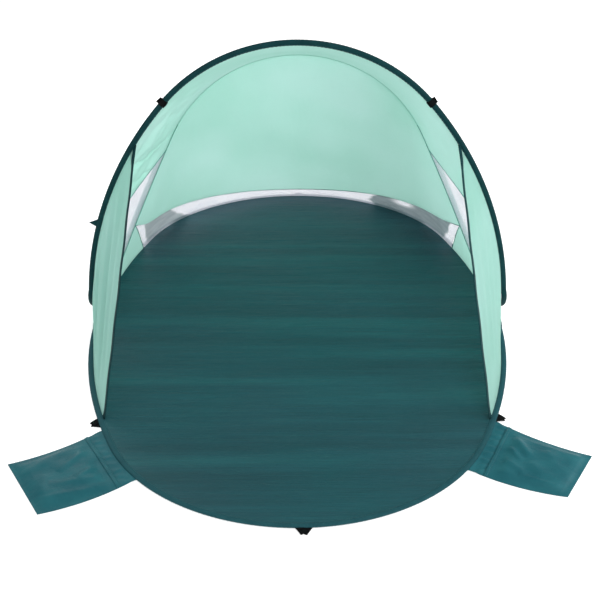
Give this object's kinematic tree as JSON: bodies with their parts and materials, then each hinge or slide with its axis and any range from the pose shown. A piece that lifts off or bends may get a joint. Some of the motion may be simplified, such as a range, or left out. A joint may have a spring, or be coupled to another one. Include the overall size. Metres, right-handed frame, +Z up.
{
  "type": "pop up tent",
  "caption": "Self-erecting beach tent: two crossed sprung hoops carry a rounded canopy with mesh windows, a sheet floor, side wings and flat sand pockets.",
  "frame": {"origin": "on the ground, midway between the two crossings of the hoops", "axes": "+Z up, -Y towards the open front, +X to the right as seen from the front"},
  "size_m": [1.5146, 2.0553, 0.9],
  "materials": {
    "dark_binding": "woven polyester sleeve tape, slightly satin",
    "spring_wire": "oiled spring steel",
    "ferrule_metal": "crimped",
    "mint_canopy": "thin woven polyester, translucent",
    "window_mesh": "fine knitted mesh",
    "floor_sheet": "coated polyester",
    "pocket_cloth": "satin polyester",
    "black_webbing": "ribbed polyester webbing"
  },
  "bodies": {
    "base": {"rear_floor_sheet": "floor_sheet", "rear_rim_sleeve": "dark_binding", "rear_rim_wire": "spring_wire", "rear_rim_ferrule": "ferrule_metal", "arch_bend_sleeve_left": "dark_binding", "arch_bend_sleeve_right": "dark_binding", "arch_bend_wire_left": "spring_wire", "arch_bend_wire_right": "spring_wire", "rear_stake_loop_centre": "black_webbing", "rear_stake_loop_left": "black_webbing", "rear_stake_loop_right": "black_webbing"},
    "rear_arch": {"rear_arch_sleeve": "mint_canopy", "rear_arch_wire": "spring_wire", "rear_wall_panel": "mint_canopy", "rear_window_mesh": "window_mesh", "rear_corner_panel_left": "mint_canopy", "rear_corner_panel_right": "mint_canopy"},
    "front_arch": {"front_arch_sleeve": "dark_binding", "front_arch_wire": "spring_wire", "roof_panel": "mint_canopy", "side_window_left": "window_mesh", "side_window_right": "window_mesh", "arch_band_left": "black_webbing", "arch_band_right": "black_webbing", "side_tab_left": "dark_binding"},
    "front_floor": {"front_floor_sheet": "floor_sheet", "front_rim_sleeve": "dark_binding", "front_rim_wire": "spring_wire", "front_rim_ferrule": "ferrule_metal", "wing_left": "mint_canopy", "wing_right": "mint_canopy", "wing_binding_left": "dark_binding", "wing_binding_right": "dark_binding", "rim_bend_sleeve_left": "dark_binding", "rim_bend_sleeve_right": "dark_binding", "rim_bend_wire_left": "spring_wire", "rim_bend_wire_right": "spring_wire", "front_stake_loop_centre": "black_webbing", "front_stake_loop_left": "black_webbing", "front_stake_loop_right": "black_webbing"},
    "sand_pocket_left": {"sand_pocket_base_left": "pocket_cloth", "sand_pocket_top_left": "pocket_cloth", "sand_pocket_hem_left": "pocket_cloth"},
    "sand_pocket_right": {"sand_pocket_base_right": "pocket_cloth", "sand_pocket_top_right": "pocket_cloth", "sand_pocket_hem_right": "pocket_cloth"}
  },
  "joints": [
    {"name": "rear_arch_fold", "type": "hinge", "parent": "base", "child": "rear_arch", "pos_m": [0, 0, 0.0032], "axis": [-1, 0, 0], "range_deg": [0, 48], "stiffness_Nm_per_rad": 4, "springref_deg": -20.05, "deforming": ["rear_wall_panel", "rear_window_mesh", "rear_corner_panel_left", "rear_corner_panel_right", "arch_bend_sleeve_left", "arch_bend_sleeve_right", "arch_bend_wire_left", "arch_bend_wire_right"]},
    {"name": "front_arch_fold", "type": "hinge", "parent": "rear_arch", "child": "front_arch", "pos_m": [0, 0, 0.0032], "axis": [-1, 0, 0], "range_deg": [0, 31], "stiffness_Nm_per_rad": 3, "springref_deg": -20.05, "deforming": ["roof_panel", "side_window_left", "side_window_right"]},
    {"name": "front_floor_fold", "type": "hinge", "parent": "front_arch", "child": "front_floor", "pos_m": [0, 0, 0.0032], "axis": [-1, 0, 0], "range_deg": [0, 85], "stiffness_Nm_per_rad": 1, "springref_deg": -20.05, "deforming": ["wing_left", "wing_right", "wing_binding_left", "wing_binding_right", "rim_bend_sleeve_left", "rim_bend_sleeve_right", "rim_bend_wire_left", "rim_bend_wire_right"]},
    {"name": "sand_pocket_left_fold", "type": "hinge", "parent": "front_floor", "child": "sand_pocket_left", "pos_m": [-0.47659, -0.72431, 0.0069], "axis": [-0.4975, 0.8675, 0], "range_deg": [0, 170], "deforming": ["sand_pocket_base_left", "sand_pocket_top_left", "sand_pocket_hem_left"]},
    {"name": "sand_pocket_right_fold", "type": "hinge", "parent": "front_floor", "child": "sand_pocket_right", "pos_m": [0.49884, -0.68125, 0.0069], "axis": [-0.424, -0.9057, 0], "range_deg": [0, 170], "deforming": ["sand_pocket_base_right", "sand_pocket_top_right", "sand_pocket_hem_right"]}
  ]
}
